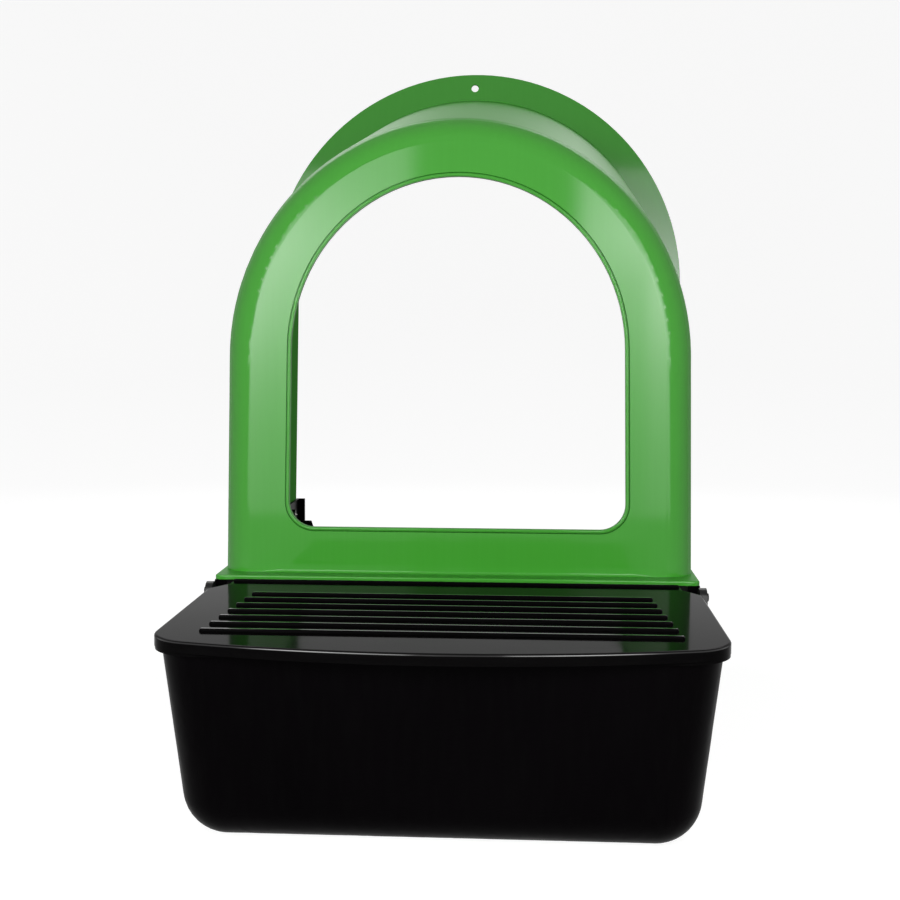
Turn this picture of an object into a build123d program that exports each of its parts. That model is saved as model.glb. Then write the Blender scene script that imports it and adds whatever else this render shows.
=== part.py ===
from build123d import *

import os
from math import atan2, cos, degrees, radians, sin, tan

# Roll-away nest box for laying hens.
#
# A green moulded hood with a round-topped entrance stands on a black base tub. The hen lays on a
# sloping perforated floor, and the egg rolls under the hood's front bar into the well at the front
# of the tub, which a ribbed lid covers. The hood's back is open and has a flat flange that goes
# against a wall.
#
# Millimetres and degrees. X runs across, the front faces -Y, +Z is up. The origin is the centre of
# the footprint on the underside. Heights named "above the rim" start at the top of the closed lid,
# and stations are distances from the hood's face, towards the wall unless they say otherwise.

os.makedirs("parts", exist_ok=True)

# Stations
nest_depth = 349.5  # face of the hood to the wall
lid_reach = 229.5  # face of the hood forward to the middle of the lid's front edge
rim_height = 118.0  # underside of the tub to the top of the closed lid
cut_past = 1.0  # cuts run this far past the surface they open

# Hood, heights above the rim
hood_wall = 3.0
front_radius = 165.9
front_arch = 172.2  # the arches are a little taller than half circles
front_top = 324.1
back_radius = 180.4
back_arch = 183.7
back_top = 421.5
side_lean = 0.9  # the sides lean in towards the top
face_edge_radius = 20.0
flange_width = 24.4
flange_thickness = 3.2
flange_foot_radius = 12.0
hanging_hole_radius = 3.6
hanging_hole_rise = 11.3  # top of the hood at the wall up to the hanging hole
lip_reach = 15.5
lip_side = 2.6
lip_thickness = 3.4
lip_corner_radius = 4.0
lip_edge_radius = 1.1

# Entrance, heights above the rim
entrance_side = 47.8  # side of the hood's face to the side of the entrance
entrance_head = 39.8  # top of the hood's face to the top of the entrance
entrance_arch = 122.2
entrance_sill = 36.4
entrance_corner_radius = 18.0
bead_width = 2.2
bead_height = 1.2
bead_edge_radius = 0.5
groove_width = 1.0
groove_depth = 0.6

# Egg lid
lid_thickness = 3.0
lid_gap = 0.4  # under the lid, over the tub's rim
lid_rear_gap = 3.5  # front of the hood's lip to the lid's rear edge
lid_neck_length = 12.0  # rear edge of the lid to where its sides start to widen
lid_shoulder_length = 31.0  # rear edge of the lid to where it reaches its full width
lid_corner_cut = 9.7  # the lid's rear is this much narrower at each side than its shoulders
lid_front_taper = 7.1  # and its front corners by this much
lid_bow = 24.6
lid_corner_radius = 30.0
lid_edge_depth = 6.5
lid_edge_radius = 1.4
skirt_setback = 18.6  # middle of the lid's front edge back to the skirt
skirt_depth = 8.5
skirt_wall = 2.0
skirt_clearance = 0.5
rib_count = 7
rib_start = 51.5  # rear edge of the lid to the rearmost rib
rib_front_margin = 45.0  # foremost rib to the middle of the lid's front edge
rib_end_inset = 34.1  # side of the lid to the end of the rearmost rib
rib_growth = 0.65  # each rib is this much longer at each end than the one behind it
rib_width = 3.0
rib_height = 1.6
rib_edge_radius = 0.7
rear_rib_inset = 2.6

# Base tub
tub_wall = 2.8
tub_draft = 6.1
tub_inset = 2.9  # the hood's outside overhangs the tub's by this much at each side
rim_front_overhang = 0.2
tub_bottom_radius = 27.0
tub_back_gap = 0.5
back_wall_drop = 12.0  # top of the lid down to the top of the tub's rear wall
rim_thickness = 3.0
upstand_height = 22.0
upstand_wall = 2.6
upstand_start = 26.0  # face of the hood to the upstand's front end
upstand_return = 6.0
hood_clearance = 1.0
ledge_width = 7.0
ledge_thickness = 3.0

# Hinge
hinge_inset = 9.0  # rear edge of the lid to the hinge axis
hinge_drop = 5.4  # top of the lid down to the hinge axis
pin_radius = 2.0
pin_running_clearance = 0.05
pin_head_radius = 3.0
pin_head_thickness = 1.6
knuckle_radius = 4.4
knuckle_length = 12.0
knuckle_inset = 0.8  # side of the lid's rear to the knuckle's outer end
eye_radius = 6.4
eye_width = 5.0
eye_gap = 1.3  # side play between the lid's widest place and the eye
clip_foot_length = 19.0
clip_foot_width = 10.0
clip_foot_thickness = 2.4
clip_leg_radius = 2.6
clip_leg_barb = 0.6
clip_leg_barb_length = 2.4
clip_leg_barb_taper = 30.0
wing_drop = 19.0  # top of the lid down to the wing that carries a clip
wing_thickness = 3.0
wing_margin = 3.5
wing_end_margin = 3.0
wing_corner_radius = 5.0
wing_leg_clearance = 0.2
gusset_width = 3.0
gusset_drop = 16.0
notch_clearance = 2.6
notch_rear = 11.5
notch_drop = 17.5

# Nest floor
floor_thickness = 3.0
floor_rear_drop = 34.0  # top of the lid down to the floor's top at the back
floor_front_gap = 32.2  # inside of the tub's bottom up to the floor's top at the front
floor_side_clearance = 1.5
floor_end_clearance = 3.0
floor_front_reach = 8.0  # the floor's front edge stands this far in front of the hood's face
floor_lip_height = 12.0
floor_lip_wall = 2.6
floor_apron_depth = 9.0
floor_apron_inset = 14.0
slot_columns = 6
slot_rows = 9
slot_length = 33.0
slot_width = 8.0
slot_pitch_x = 43.0
slot_pitch_y = 32.0

# Hood screws
screw_height = 12.0
front_screw_station = 80.0
rear_screw_station = 290.0
screw_shank_radius = 2.0
screw_hole_clearance = 0.4
screw_head_radius = 4.5
screw_head_height = 2.6
screw_length = 13.0
boss_radius = 5.0
boss_depth = 7.0

# Derived places
face_y = (lid_reach - nest_depth) / 2
wall_y = face_y + nest_depth
rim_z = rim_height
flare = (back_radius - front_radius) / nest_depth
core_radius = front_radius + flare * hood_wall - hood_wall
flange_radius = back_radius + flange_width
entrance_radius = front_radius - entrance_side
entrance_top = front_top - entrance_head
lid_rear = lip_reach + lid_rear_gap
lid_neck = lid_rear + lid_neck_length
lid_shoulder = lid_rear + lid_shoulder_length
skirt_front = lid_reach - skirt_setback
rim_inset = skirt_wall + skirt_clearance
tub_front = skirt_front - rim_inset - rim_front_overhang
tub_corner_radius = lid_corner_radius - rim_inset
hinge_y = face_y - lid_rear - hinge_inset
hinge_z = rim_z - hinge_drop
seat_z = rim_z - lid_thickness - lid_gap
wing_z = rim_z - wing_drop
screw_stations = (front_screw_station, rear_screw_station)
sides = {"left": -1, "right": 1}


def cross_plane(y):
    """Upright plane across the box at y; its sketches read X across and Z up."""
    return Plane.XZ.offset(-y)


def spring_angle(radius, arch):
    """Angle on the arch's ellipse where the leaning sides run tangent into it."""
    return atan2(arch * tan(radians(side_lean)), radius)


def half_at(radius, arch, top, height):
    """Half-width of an arch at a height above the rim, on its leaning sides."""
    spring = spring_angle(radius, arch)
    spring_height = top - arch + arch * sin(spring)
    return radius * cos(spring) + (spring_height - height) * tan(radians(side_lean))


def hood_half_at(y):
    """Half-width of the hood's outside at the rim."""
    share = (y - face_y) / nest_depth
    radius = front_radius + share * (back_radius - front_radius)
    arch = front_arch + share * (back_arch - front_arch)
    top = front_top + share * (back_top - front_top)
    return half_at(radius, arch, top, 0)


lid_shoulder_half = hood_half_at(face_y - lid_shoulder)
lid_front_half = lid_shoulder_half - lid_front_taper
lid_rear_half = lid_shoulder_half - lid_corner_cut
lid_taper = lid_front_taper / (lid_reach - lid_bow - lid_shoulder)


def lid_half_at(y):
    """Half-width of the lid in front of its shoulders."""
    return lid_shoulder_half - (face_y - lid_shoulder - y) * lid_taper


def tub_half_at(y, drop=0.0):
    """Half-width of the tub's outside this far below the top of the lid."""
    return hood_half_at(y) - tub_inset - drop * tan(radians(tub_draft))


def floor_half_at(y, drop):
    """Half-width of the nest floor where it lies this far below the top of the lid."""
    return tub_half_at(y, drop) - tub_wall - floor_side_clearance


rib_first = lid_rear + rib_start
rib_pitch = (lid_reach - rib_front_margin - rib_first) / (rib_count - 1)
rib_first_half = lid_half_at(face_y - rib_first) - rib_end_inset
knuckle_outer_x = lid_rear_half - knuckle_inset
knuckle_inner_x = knuckle_outer_x - knuckle_length
eye_inner_x = lid_shoulder_half + eye_gap
eye_outer_x = eye_inner_x + eye_width
eye_middle_x = (eye_inner_x + eye_outer_x) / 2
wing_root_x = tub_half_at(hinge_y, wing_drop) - tub_wall / 2
wing_end_x = eye_outer_x + wing_margin
wing_length = clip_foot_length + 2 * wing_end_margin
notch_front = knuckle_radius + notch_clearance
notch_length = notch_front + notch_rear
floor_front_drop = rim_height - tub_wall - floor_front_gap
floor_front_y = face_y - floor_front_reach
floor_rear_y = wall_y - tub_back_gap - tub_wall - floor_end_clearance
floor_slope = atan2(floor_front_drop - floor_rear_drop, floor_rear_y - floor_front_y)
floor_length = (floor_rear_y - floor_front_y) / cos(floor_slope)
floor_low = floor_thickness * cos(floor_slope)
floor_front_half = floor_half_at(floor_front_y, floor_front_drop + floor_low)
floor_rear_half = floor_half_at(floor_rear_y, floor_rear_drop + floor_low)
floor_rear_length = floor_length - (floor_rear_drop + floor_low) * tan(radians(tub_draft))
floor_plane = Plane(
    origin=(0, floor_front_y, rim_z - floor_front_drop),
    x_dir=(1, 0, 0),
    z_dir=(0, -sin(floor_slope), cos(floor_slope)),
)


def arch_outline(radius, arch, top, foot=0.0, foot_radius=0.0, mode=Mode.ADD):
    """Closed arch: straight sides that lean in and run tangent into half an ellipse."""
    spring = degrees(spring_angle(radius, arch))
    half = half_at(radius, arch, top, foot)
    with BuildLine() as outline:
        crown = EllipticalCenterArc((0, rim_z + top - arch), radius, arch, spring, arc_size=180 - 2 * spring)
        Polyline(crown @ 1, (-half, foot + rim_z), (half, foot + rim_z), crown @ 0)
    if foot_radius == 0:
        make_face(outline.edges(), mode=mode)
    else:
        plain = Face(Wire(outline.edges()))
        add(plain.fillet_2d(foot_radius, plain.vertices().sort_by(Axis.Y)[:2]), mode=mode)


def entrance_outline(grow=0.0, mode=Mode.ADD):
    """Entrance shape, grown outwards all round: flat sill, rounded corners, round top."""
    corner = entrance_corner_radius + grow
    arch_outline(
        entrance_radius + grow, entrance_arch + grow, entrance_top + grow, entrance_sill - grow, corner, mode
    )


def hood_band(front, rear, grow, mode=Mode.ADD):
    """Flat area between two stations, this far outside the hood's sides at the rim."""
    front_half = hood_half_at(front) + grow
    rear_half = hood_half_at(rear) + grow
    with BuildLine() as outline:
        Polyline((-front_half, front), (front_half, front), (rear_half, rear), (-rear_half, rear), close=True)
    make_face(outline.edges(), mode=mode)


def skirt_band(inset, rear, mode=Mode.ADD):
    """Area inside the lid's skirt from its straight front back to a station."""
    front = face_y - skirt_front + inset
    front_half = lid_half_at(front) - inset
    rear_half = lid_half_at(rear) - inset
    with BuildLine() as outline:
        FilletPolyline(
            (rear_half, rear),
            (front_half, front),
            (-front_half, front),
            (-rear_half, rear),
            radius=lid_corner_radius - inset,
        )
        Line((-rear_half, rear), (rear_half, rear))
    make_face(outline.edges(), mode=mode)


def lid_outline(inset=0.0, mode=Mode.ADD):
    """Lid seen from above: cut-off rear corners, tapering sides, bowed front."""
    rear = face_y - lid_rear - inset
    neck = face_y - lid_neck
    shoulder = face_y - lid_shoulder
    front = face_y - lid_reach + inset
    corner = front + lid_bow
    rear_half = lid_rear_half - inset
    shoulder_half = lid_shoulder_half - inset
    front_half = lid_front_half - inset
    with BuildLine() as outline:
        Polyline((front_half, corner), (shoulder_half, shoulder), (rear_half, neck), (rear_half, rear))
        Line((rear_half, rear), (-rear_half, rear))
        Polyline((-rear_half, rear), (-rear_half, neck), (-shoulder_half, shoulder), (-front_half, corner))
        ThreePointArc((-front_half, corner), (0, front), (front_half, corner))
    plan = Face(Wire(outline.edges()))
    corners = [point for point in plan.vertices() if abs(point.Y - corner) < lid_bow / 2]
    add(plan.fillet_2d(lid_corner_radius - inset, corners), mode=mode)


def hood_side_plane(side, station):
    """Plane on the hood's outer side at screw height; its normal points away from the box."""
    y = face_y + station
    x = hood_half_at(y) - screw_height * tan(radians(side_lean))
    along = Vector(side * (hood_half_at(wall_y) - hood_half_at(face_y)) / nest_depth, 1, 0).normalized()
    up = Vector(-side * tan(radians(side_lean)), 0, 1).normalized()
    outward = along.cross(up) * side
    return Plane(origin=(side * x, y, rim_z + screw_height), x_dir=along + up, z_dir=outward)


def tub_form(inset, base_z, corner, bottom):
    """Drafted tub body: a tapered block with rounded upright corners and bottom edges."""
    front = face_y - tub_front + inset
    rear = wall_y - tub_back_gap - inset
    front_half = tub_half_at(front) - inset
    rear_half = tub_half_at(rear) - inset
    with BuildLine() as outline:
        Polyline((-front_half, front), (front_half, front), (rear_half, rear), (-rear_half, rear), close=True)
    with BuildPart() as form:
        with BuildSketch(Plane.XY.offset(rim_z)):
            make_face(outline.edges())
        extrude(amount=base_z - rim_z, taper=tub_draft)
        fillet(form.edges().filter_by(lambda edge: abs(edge.tangent_at(0.5).Z) > 0.5), corner)
        fillet(form.edges().group_by(Axis.Z)[0], bottom)
    return form.part


# Hood
with BuildPart() as hood_core:
    with BuildSketch(cross_plane(face_y + hood_wall)):
        arch_outline(core_radius, front_arch - hood_wall, front_top - hood_wall, -2 * lip_thickness)
    with BuildSketch(cross_plane(wall_y)):
        arch_outline(back_radius - hood_wall, back_arch - hood_wall, back_top - hood_wall, -2 * lip_thickness)
    loft(ruled=True)
    core_front = hood_core.faces().sort_by(Axis.Y)[0].edges()
    fillet(core_front.filter_by(lambda edge: edge.center().Z > rim_z), face_edge_radius - hood_wall)
    extrude(hood_core.faces().sort_by(Axis.Y)[-1], amount=2 * flange_thickness)

with BuildPart() as hood_lip:
    with BuildSketch(Plane.XY.offset(rim_z)) as lip_sketch:
        hood_band(face_y - lip_reach, wall_y, lip_side)
        fillet(lip_sketch.vertices().group_by(Axis.Y)[0], lip_corner_radius)
    extrude(amount=lip_thickness)
    fillet(hood_lip.faces().sort_by(Axis.Z)[-1].edges().group_by(Axis.Y)[:-1], lip_edge_radius)

with BuildPart() as hood:
    with BuildSketch(cross_plane(face_y)):
        arch_outline(front_radius, front_arch, front_top)
    with BuildSketch(cross_plane(wall_y)):
        arch_outline(back_radius, back_arch, back_top)
    loft(ruled=True)
    hood_front = hood.faces().sort_by(Axis.Y)[0].edges()
    fillet(hood_front.filter_by(lambda edge: edge.center().Z > rim_z + cut_past), face_edge_radius)
    with BuildSketch(cross_plane(wall_y)):
        arch_outline(flange_radius, back_arch + flange_width, back_top + flange_width, 0, flange_foot_radius)
    extrude(amount=flange_thickness)
    add(hood_lip.part)
    add(hood_core.part, mode=Mode.SUBTRACT)
    with BuildSketch(cross_plane(face_y)):
        entrance_outline(bead_width + groove_width)
        entrance_outline(bead_width, mode=Mode.SUBTRACT)
    extrude(amount=-groove_depth, mode=Mode.SUBTRACT)
    with BuildSketch(cross_plane(face_y)):
        entrance_outline(bead_width)
    extrude(amount=bead_height)
    fillet(hood.faces().sort_by(Axis.Y)[0].edges(), bead_edge_radius)
    with BuildSketch(cross_plane(face_y - bead_height)):
        entrance_outline()
    extrude(amount=-bead_height - 2 * hood_wall, mode=Mode.SUBTRACT)
    with BuildSketch(cross_plane(wall_y)):
        with Locations((0, rim_z + back_top + hanging_hole_rise)):
            Circle(hanging_hole_radius)
    extrude(amount=flange_thickness, mode=Mode.SUBTRACT)
    for side in sides.values():
        for station in screw_stations:
            with BuildSketch(hood_side_plane(side, station).offset(hood_wall)):
                Circle(screw_shank_radius + screw_hole_clearance)
            extrude(amount=-3 * hood_wall, mode=Mode.SUBTRACT)

hood.part.label = "hood"
export_step(hood.part, "parts/hood.step")

# Base tub
tub_cavity = tub_form(tub_wall, tub_wall, tub_corner_radius - tub_wall, tub_bottom_radius - tub_wall)
ledge_inset = tub_wall + ledge_width
ledge_hole = tub_form(ledge_inset, tub_wall, tub_corner_radius - ledge_inset, tub_bottom_radius - ledge_inset)

with BuildPart() as floor_ledge:
    with BuildSketch(floor_plane.offset(-floor_thickness)):
        Rectangle(2 * hood_half_at(wall_y), nest_depth + floor_front_reach, align=(Align.CENTER, Align.MIN))
    extrude(amount=-ledge_thickness)
    add(tub_cavity, mode=Mode.INTERSECT)
    add(ledge_hole, mode=Mode.SUBTRACT)

with BuildPart() as base_tub:
    add(tub_form(0, 0, tub_corner_radius, tub_bottom_radius))
    with BuildSketch(Plane.XY.offset(seat_z)):
        skirt_band(rim_inset, face_y - lip_reach)
    extrude(amount=-rim_thickness)
    with BuildSketch(Plane.XY.offset(rim_z)):
        hood_band(face_y - lip_reach, wall_y, lip_side)
    extrude(amount=seat_z - rim_thickness - rim_z)
    for side in sides.values():
        with BuildSketch(Plane.XY.offset(wing_z)):
            with Locations((side * (wing_root_x + wing_end_x) / 2, hinge_y)):
                RectangleRounded(wing_end_x - wing_root_x, wing_length, wing_corner_radius)
        extrude(amount=-wing_thickness)
        for end in (-1, 1):
            gusset_y = hinge_y + end * (wing_length / 2 - wing_corner_radius)
            with BuildSketch(cross_plane(gusset_y - gusset_width / 2)):
                with BuildLine() as gusset:
                    Polyline(
                        (side * wing_root_x, wing_z - wing_thickness),
                        (side * (wing_end_x - wing_corner_radius), wing_z - wing_thickness),
                        (side * (wing_root_x - gusset_drop * tan(radians(tub_draft))), wing_z - gusset_drop),
                        close=True,
                    )
                make_face(gusset.edges())
            extrude(amount=-gusset_width)
    with BuildSketch(Plane.XY.offset(rim_z)):
        skirt_band(0, face_y - lip_reach)
    extrude(amount=seat_z - rim_z, mode=Mode.SUBTRACT)
    add(tub_cavity, mode=Mode.SUBTRACT)
    with BuildSketch(Plane.XY.offset(rim_z)):
        upstand_inset = hood_wall + hood_clearance
        return_half = hood_half_at(wall_y) - upstand_inset - upstand_wall - upstand_return
        hood_band(face_y + upstand_start, wall_y - tub_back_gap, -upstand_inset)
        hood_band(face_y, wall_y - tub_back_gap - upstand_wall, -upstand_inset - upstand_wall, Mode.SUBTRACT)
        with Locations((0, wall_y)):
            Rectangle(2 * return_half, 4 * (upstand_wall + tub_back_gap), mode=Mode.SUBTRACT)
    extrude(amount=upstand_height)
    with BuildSketch(cross_plane(wall_y + cut_past)):
        with Locations((0, rim_z - back_wall_drop)):
            Rectangle(2 * return_half, back_wall_drop + cut_past, align=(Align.CENTER, Align.MIN))
    extrude(amount=tub_back_gap + 2 * tub_wall + cut_past, mode=Mode.SUBTRACT)
    add(floor_ledge.part)
    for side in sides.values():
        for station in screw_stations:
            screw_plane = hood_side_plane(side, station)
            with BuildSketch(screw_plane.offset(-hood_wall - hood_clearance)):
                Circle(boss_radius)
            extrude(amount=-boss_depth)
            with BuildSketch(screw_plane):
                Circle(screw_shank_radius)
            extrude(amount=-hood_wall - hood_clearance - boss_depth, mode=Mode.SUBTRACT)
        with BuildSketch(Plane.XY.offset(rim_z)):
            with Locations((side * (knuckle_inner_x + wing_end_x) / 2, hinge_y + (notch_rear - notch_front) / 2)):
                Rectangle(wing_end_x - knuckle_inner_x + 2 * cut_past, notch_length)
        extrude(amount=-notch_drop, mode=Mode.SUBTRACT)
        with BuildSketch(Plane.XY.offset(wing_z)):
            with Locations((side * eye_middle_x, hinge_y)):
                Circle(clip_leg_radius + wing_leg_clearance)
        extrude(amount=-wing_thickness, mode=Mode.SUBTRACT)

base_tub.part.label = "base_tub"
export_step(base_tub.part, "parts/base_tub.step")

# Egg lid
with BuildPart() as egg_lid:
    with BuildSketch(Plane.XY.offset(rim_z)):
        lid_outline()
    extrude(amount=-lid_edge_depth)
    fillet(egg_lid.faces().sort_by(Axis.Z)[-1].edges(), lid_edge_radius)
    with BuildSketch(Plane.XY.offset(rim_z - lid_thickness)):
        lid_outline(skirt_wall)
        with Locations((0, face_y - lid_shoulder)):
            Rectangle(3 * lid_rear_half, lid_shoulder, align=(Align.CENTER, Align.MIN))
    extrude(amount=-lid_edge_depth, mode=Mode.SUBTRACT)
    with BuildSketch(Plane.XY.offset(rim_z - lid_thickness)):
        skirt_band(0, face_y - lid_shoulder)
        skirt_band(skirt_wall, face_y - lid_shoulder, Mode.SUBTRACT)
    extrude(amount=lid_thickness - skirt_depth)
    for row in range(rib_count):
        with BuildSketch(Plane.XY.offset(rim_z)):
            with Locations((0, face_y - rib_first - row * rib_pitch)):
                SlotOverall(2 * (rib_first_half + row * rib_growth), rib_width)
        extrude(amount=rib_height)
    with BuildSketch(Plane.XY.offset(rim_z)):
        with Locations((0, face_y - lid_rear - rear_rib_inset)):
            SlotOverall(2 * (lid_rear_half - rear_rib_inset / 2), rib_width)
    extrude(amount=rib_height)
    fillet(egg_lid.edges().group_by(Axis.Z)[-1], rib_edge_radius)
    for side in sides.values():
        with BuildSketch(Plane.YZ.offset(side * knuckle_outer_x)):
            with Locations((hinge_y, hinge_z)):
                Circle(knuckle_radius)
        extrude(amount=-side * knuckle_length)
        with BuildSketch(Plane.YZ.offset(side * knuckle_outer_x)):
            with Locations((hinge_y, hinge_z)):
                Circle(pin_radius)
        extrude(amount=-side * knuckle_length, mode=Mode.SUBTRACT)

egg_lid.part.label = "egg_lid"
export_step(egg_lid.part, "parts/egg_lid.step")

# Nest floor
def floor_outline(inset=0.0, mode=Mode.ADD):
    """Nest floor seen square on: a trapezoid that follows the tub's inside."""
    with BuildLine() as outline:
        FilletPolyline(
            (floor_front_half - inset, 0),
            (floor_rear_half - inset, floor_rear_length - inset),
            (inset - floor_rear_half, floor_rear_length - inset),
            (inset - floor_front_half, 0),
            radius=tub_corner_radius - tub_wall - inset,
        )
        Line((inset - floor_front_half, 0), (floor_front_half - inset, 0))
    make_face(outline.edges(), mode=mode)

with BuildPart() as nest_floor:
    with BuildSketch(floor_plane):
        floor_outline()
    extrude(amount=-floor_thickness)
    with BuildSketch(floor_plane):
        floor_outline()
        floor_outline(floor_lip_wall, Mode.SUBTRACT)
    extrude(amount=floor_lip_height)
    with BuildSketch(floor_plane):
        Rectangle(2 * (floor_front_half - floor_apron_inset), floor_lip_wall, align=(Align.CENTER, Align.MIN))
    extrude(amount=-floor_apron_depth)
    with BuildSketch(floor_plane):
        with Locations((0, floor_rear_length / 2)):
            with GridLocations(slot_pitch_x, slot_pitch_y, slot_columns, slot_rows):
                SlotOverall(slot_length, slot_width)
    extrude(amount=-floor_thickness, mode=Mode.SUBTRACT)

nest_floor.part.label = "nest_floor"
export_step(nest_floor.part, "parts/nest_floor.step")

# Hinge clips and pins
for name, side in sides.items():
    with BuildPart() as clip:
        with BuildSketch(Plane.YZ.offset(side * eye_inner_x)):
            with Locations((hinge_y, hinge_z)):
                Circle(eye_radius)
            with Locations((hinge_y, wing_z)):
                Rectangle(clip_foot_length, clip_foot_thickness, align=(Align.CENTER, Align.MIN))
            make_hull()
        extrude(amount=side * eye_width)
        with BuildSketch(Plane.XY.offset(wing_z)):
            with Locations((side * eye_middle_x, hinge_y)):
                RectangleRounded(clip_foot_width, clip_foot_length, clip_foot_thickness)
        extrude(amount=clip_foot_thickness)
        with BuildSketch(Plane.YZ.offset(side * eye_inner_x)):
            with Locations((hinge_y, hinge_z)):
                Circle(pin_radius + pin_running_clearance)
        extrude(amount=side * eye_width, mode=Mode.SUBTRACT)
        with BuildSketch(Plane.XY.offset(wing_z)):
            with Locations((side * eye_middle_x, hinge_y)):
                Circle(clip_leg_radius)
        extrude(amount=-wing_thickness)
        with BuildSketch(Plane.XY.offset(wing_z - wing_thickness)):
            with Locations((side * eye_middle_x, hinge_y)):
                Circle(clip_leg_radius + clip_leg_barb)
        extrude(amount=-clip_leg_barb_length, taper=clip_leg_barb_taper)
    clip.part.label = f"hinge_clip_{name}"
    export_step(clip.part, f"parts/hinge_clip_{name}.step")

    with BuildPart() as pin:
        pin_head_x = eye_outer_x + pin_running_clearance
        with BuildSketch(Plane.YZ.offset(side * knuckle_inner_x)):
            with Locations((hinge_y, hinge_z)):
                Circle(pin_radius)
        extrude(amount=side * (pin_head_x - knuckle_inner_x))
        with BuildSketch(Plane.YZ.offset(side * pin_head_x)):
            with Locations((hinge_y, hinge_z)):
                Circle(pin_head_radius)
        extrude(amount=side * pin_head_thickness)
        fillet(pin.faces().sort_by(Axis.X)[-1 if side > 0 else 0].edges(), pin_head_thickness / 2)
    pin.part.label = f"hinge_pin_{name}"
    export_step(pin.part, f"parts/hinge_pin_{name}.step")

# Hood screws
with BuildPart() as hood_screws:
    for side in sides.values():
        for station in screw_stations:
            seat = hood_side_plane(side, station)
            with BuildSketch(seat):
                Circle(screw_head_radius)
            extrude(amount=screw_head_height)
            with BuildSketch(seat):
                Circle(screw_shank_radius)
            extrude(amount=-screw_length)

hood_screws.part.label = "hood_screws"
export_step(hood_screws.part, "parts/hood_screws.step")
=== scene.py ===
# Roll-away nest box: moulded green hood, black tub, ribbed egg lid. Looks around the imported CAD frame.
import math
import bpy
import numpy as np
from mathutils import Matrix, Vector


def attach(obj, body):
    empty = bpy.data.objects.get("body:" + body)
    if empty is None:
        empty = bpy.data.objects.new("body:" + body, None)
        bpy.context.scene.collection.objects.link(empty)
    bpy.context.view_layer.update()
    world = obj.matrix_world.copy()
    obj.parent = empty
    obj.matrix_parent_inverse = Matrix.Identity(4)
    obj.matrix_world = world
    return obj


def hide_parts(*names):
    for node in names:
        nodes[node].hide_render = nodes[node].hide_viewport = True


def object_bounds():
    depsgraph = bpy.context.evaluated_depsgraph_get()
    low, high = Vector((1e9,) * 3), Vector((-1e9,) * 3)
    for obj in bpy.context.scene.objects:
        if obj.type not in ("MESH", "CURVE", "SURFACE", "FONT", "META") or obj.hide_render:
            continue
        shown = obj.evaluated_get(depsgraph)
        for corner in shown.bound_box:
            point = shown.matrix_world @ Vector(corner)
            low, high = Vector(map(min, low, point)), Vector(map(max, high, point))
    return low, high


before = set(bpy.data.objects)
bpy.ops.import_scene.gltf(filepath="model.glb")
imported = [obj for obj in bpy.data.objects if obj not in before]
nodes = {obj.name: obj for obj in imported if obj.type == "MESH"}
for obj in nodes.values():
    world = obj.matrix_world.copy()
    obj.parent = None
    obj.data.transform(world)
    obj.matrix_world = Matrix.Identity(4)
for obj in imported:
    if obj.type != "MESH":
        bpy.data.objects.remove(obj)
cadLow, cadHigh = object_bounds()
print("frame loaded:", len(nodes), "nodes")


# small helpers for shader nodes
def addNode(tree, kind, place=(0, 0), **settings):
    node = tree.nodes.new(kind)
    node.location = place
    for key, value in settings.items():
        setattr(node, key, value)
    return node


def feed(tree, source, target):
    tree.links.new(source, target)


def setInputs(node, **values):
    for key, value in values.items():
        node.inputs[key.replace("_", " ")].default_value = value
    return node


def newGroup(name, inputs, outputs):
    # inputs and outputs are lists of (name, socket kind, default)
    group = bpy.data.node_groups.new(name, "ShaderNodeTree")
    for label, kind, value in inputs:
        socket = group.interface.new_socket(label, in_out="INPUT", socket_type=kind)
        if value is not None:
            socket.default_value = value
    for label, kind in outputs:
        group.interface.new_socket(label, in_out="OUTPUT", socket_type=kind)
    start = addNode(group, "NodeGroupInput", (-900, 0))
    end = addNode(group, "NodeGroupOutput", (700, 0))
    return group, start, end


def mathNode(tree, operation, first, second, place=(0, 0), clamp=False):
    # each of first and second is a socket or a number
    node = addNode(tree, "ShaderNodeMath", place, operation=operation, use_clamp=clamp)
    for index, value in enumerate((first, second)):
        if isinstance(value, (int, float)):
            node.inputs[index].default_value = value
        else:
            feed(tree, value, node.inputs[index])
    return node.outputs[0]


def rampNode(tree, source, stops, place=(0, 0)):
    # stops are (position, grey or colour)
    node = addNode(tree, "ShaderNodeValToRGB", place)
    elements = node.color_ramp.elements
    while len(elements) < len(stops):
        elements.new(0.5)
    for element, (position, value) in zip(elements, stops):
        element.position = position
        element.color = (value, value, value, 1) if isinstance(value, (int, float)) else (*value, 1)
    feed(tree, source, node.inputs["Fac"])
    return node.outputs["Color"]


def noiseNode(tree, vector, scale, detail, roughness, place):
    node = addNode(tree, "ShaderNodeTexNoise", place)
    setInputs(node, Scale=scale, Detail=detail, Roughness=roughness)
    feed(tree, vector, node.inputs["Vector"])
    return node.outputs["Fac"]


# effects that several materials use; a noise is (scale, detail, roughness), a stop is (position, grey)
skinNumbers = {"waves": (9.0, 1.0, 0.4), "peelDetail": 2.0, "peelRoughness": 0.55}
streakNumbers = {"detail": 3.0, "roughness": 0.6, "stops": [(0.42, 0.0), (0.72, 1.0)]}
scratchNumbers = {
    # turns in radians, how far a turn tips the other two axes, and how much the lines are drawn out
    "turns": (0.5, 1.9), "tips": (0.3, 0.7), "squeeze": (1.0, 0.03, 0.03), "line": [(0.0, 1.0), (0.012, 0.0)],
    "patches": (14.0, 2.0, 0.5), "gaps": [(0.52, 0.0), (0.62, 1.0)],
}
dustNumbers = {
    "upward": [(0.2, 0.0), (0.9, 1.0)], "cloud": (22.0, 5.0, 0.65), "cloudStops": [(0.35, 0.2), (0.75, 1.0)],
    "speck": (900.0, 1.0, 0.5), "speckStops": [(0.55, 0.3), (0.75, 1.0)],
}


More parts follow.
